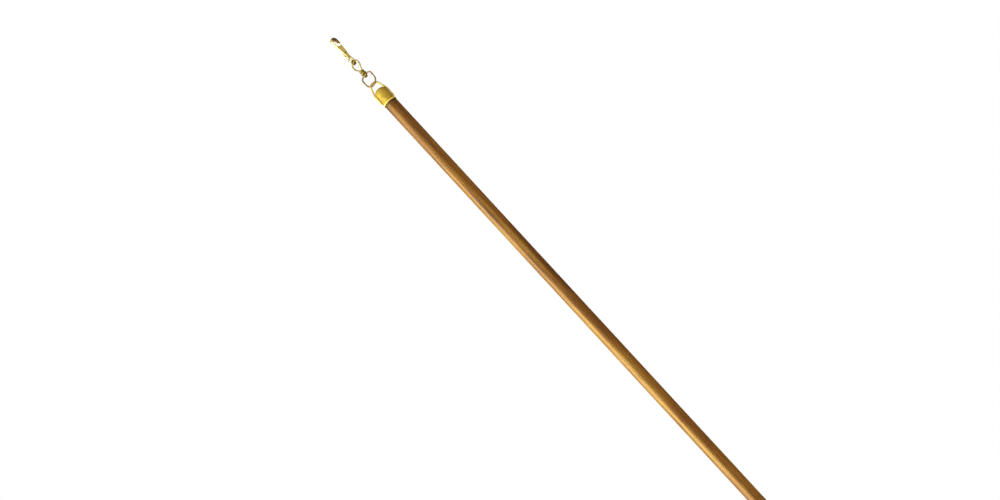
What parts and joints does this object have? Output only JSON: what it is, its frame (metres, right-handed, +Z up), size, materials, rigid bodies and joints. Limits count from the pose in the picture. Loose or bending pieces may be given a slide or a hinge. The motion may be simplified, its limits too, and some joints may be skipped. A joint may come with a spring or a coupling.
{
  "type": "drapery baton",
  "caption": "Drapery baton: long wooden curtain draw wand with a turned handle, a brass end cap with a wire bail, and a swivel chain ending in a lever snap hook.",
  "frame": {"origin": "centre of the round inside of the hook's bow, midway through its thickness", "axes": "+Z up along the baton, towards the hook, which hangs on top; the hook lies in the XZ plane with its gate facing +X"},
  "size_m": [0.0322, 0.0322, 0.9144],
  "materials": {
    "snap_brass": "polished, pale",
    "lever_brass": "polished, pale",
    "rivet_brass": "polished",
    "spring_steel": "bright",
    "link_brass": "polished",
    "cap_brass": "polished",
    "rod_wood": "satin bronze stain and lacquer",
    "handle_gilt": "antique gold over brown, rubbed",
    "button_dark": "dark brown, satin",
    "screw_steel": "zinc plated"
  },
  "bodies": {
    "snap": {"snap_body": "snap_brass", "lever_pin": "rivet_brass", "lever_spring": "spring_steel", "snap_stud": "rivet_brass", "foot_washer": "rivet_brass"},
    "lever": {"snap_lever": "lever_brass"},
    "eye": {"swivel_eye": "link_brass", "eye_barrel": "link_brass", "barrel_washer": "rivet_brass", "ring_stud": "rivet_brass"},
    "ring": {"swivel_ring": "link_brass"},
    "bail": {"bail": "cap_brass"},
    "wand": {"end_cap": "cap_brass", "rod": "rod_wood", "dowel_screw": "screw_steel", "handle": "handle_gilt", "end_button": "button_dark"}
  },
  "joints": [
    {"name": "gate_lever", "type": "hinge", "parent": "snap", "child": "lever", "pos_m": [0.0003, 0, -0.0136], "axis": [0, -1, 0], "range_deg": [0, 15], "stiffness_Nm_per_rad": 0.03, "springref_deg": -14.32, "deforming": ["lever_spring"]},
    {"name": "eye_swivel", "type": "hinge", "parent": "snap", "child": "eye", "pos_m": [0, 0, -0.02595], "axis": [0, 0, 1], "continuous": true},
    {"name": "ring_swivel", "type": "hinge", "parent": "eye", "child": "ring", "pos_m": [0, 0, -0.04225], "axis": [0, 0, 1], "continuous": true},
    {"name": "bail_swing", "type": "hinge", "parent": "ring", "child": "bail", "pos_m": [0, 0, -0.05455], "axis": [0.3256, -0.9455, 0], "range_deg": [-120, 120]},
    {"name": "cap_swing", "type": "hinge", "parent": "bail", "child": "wand", "pos_m": [0, 0, -0.07445], "axis": [0.8572, -0.515, 0], "range_deg": [-120, 120]}
  ]
}
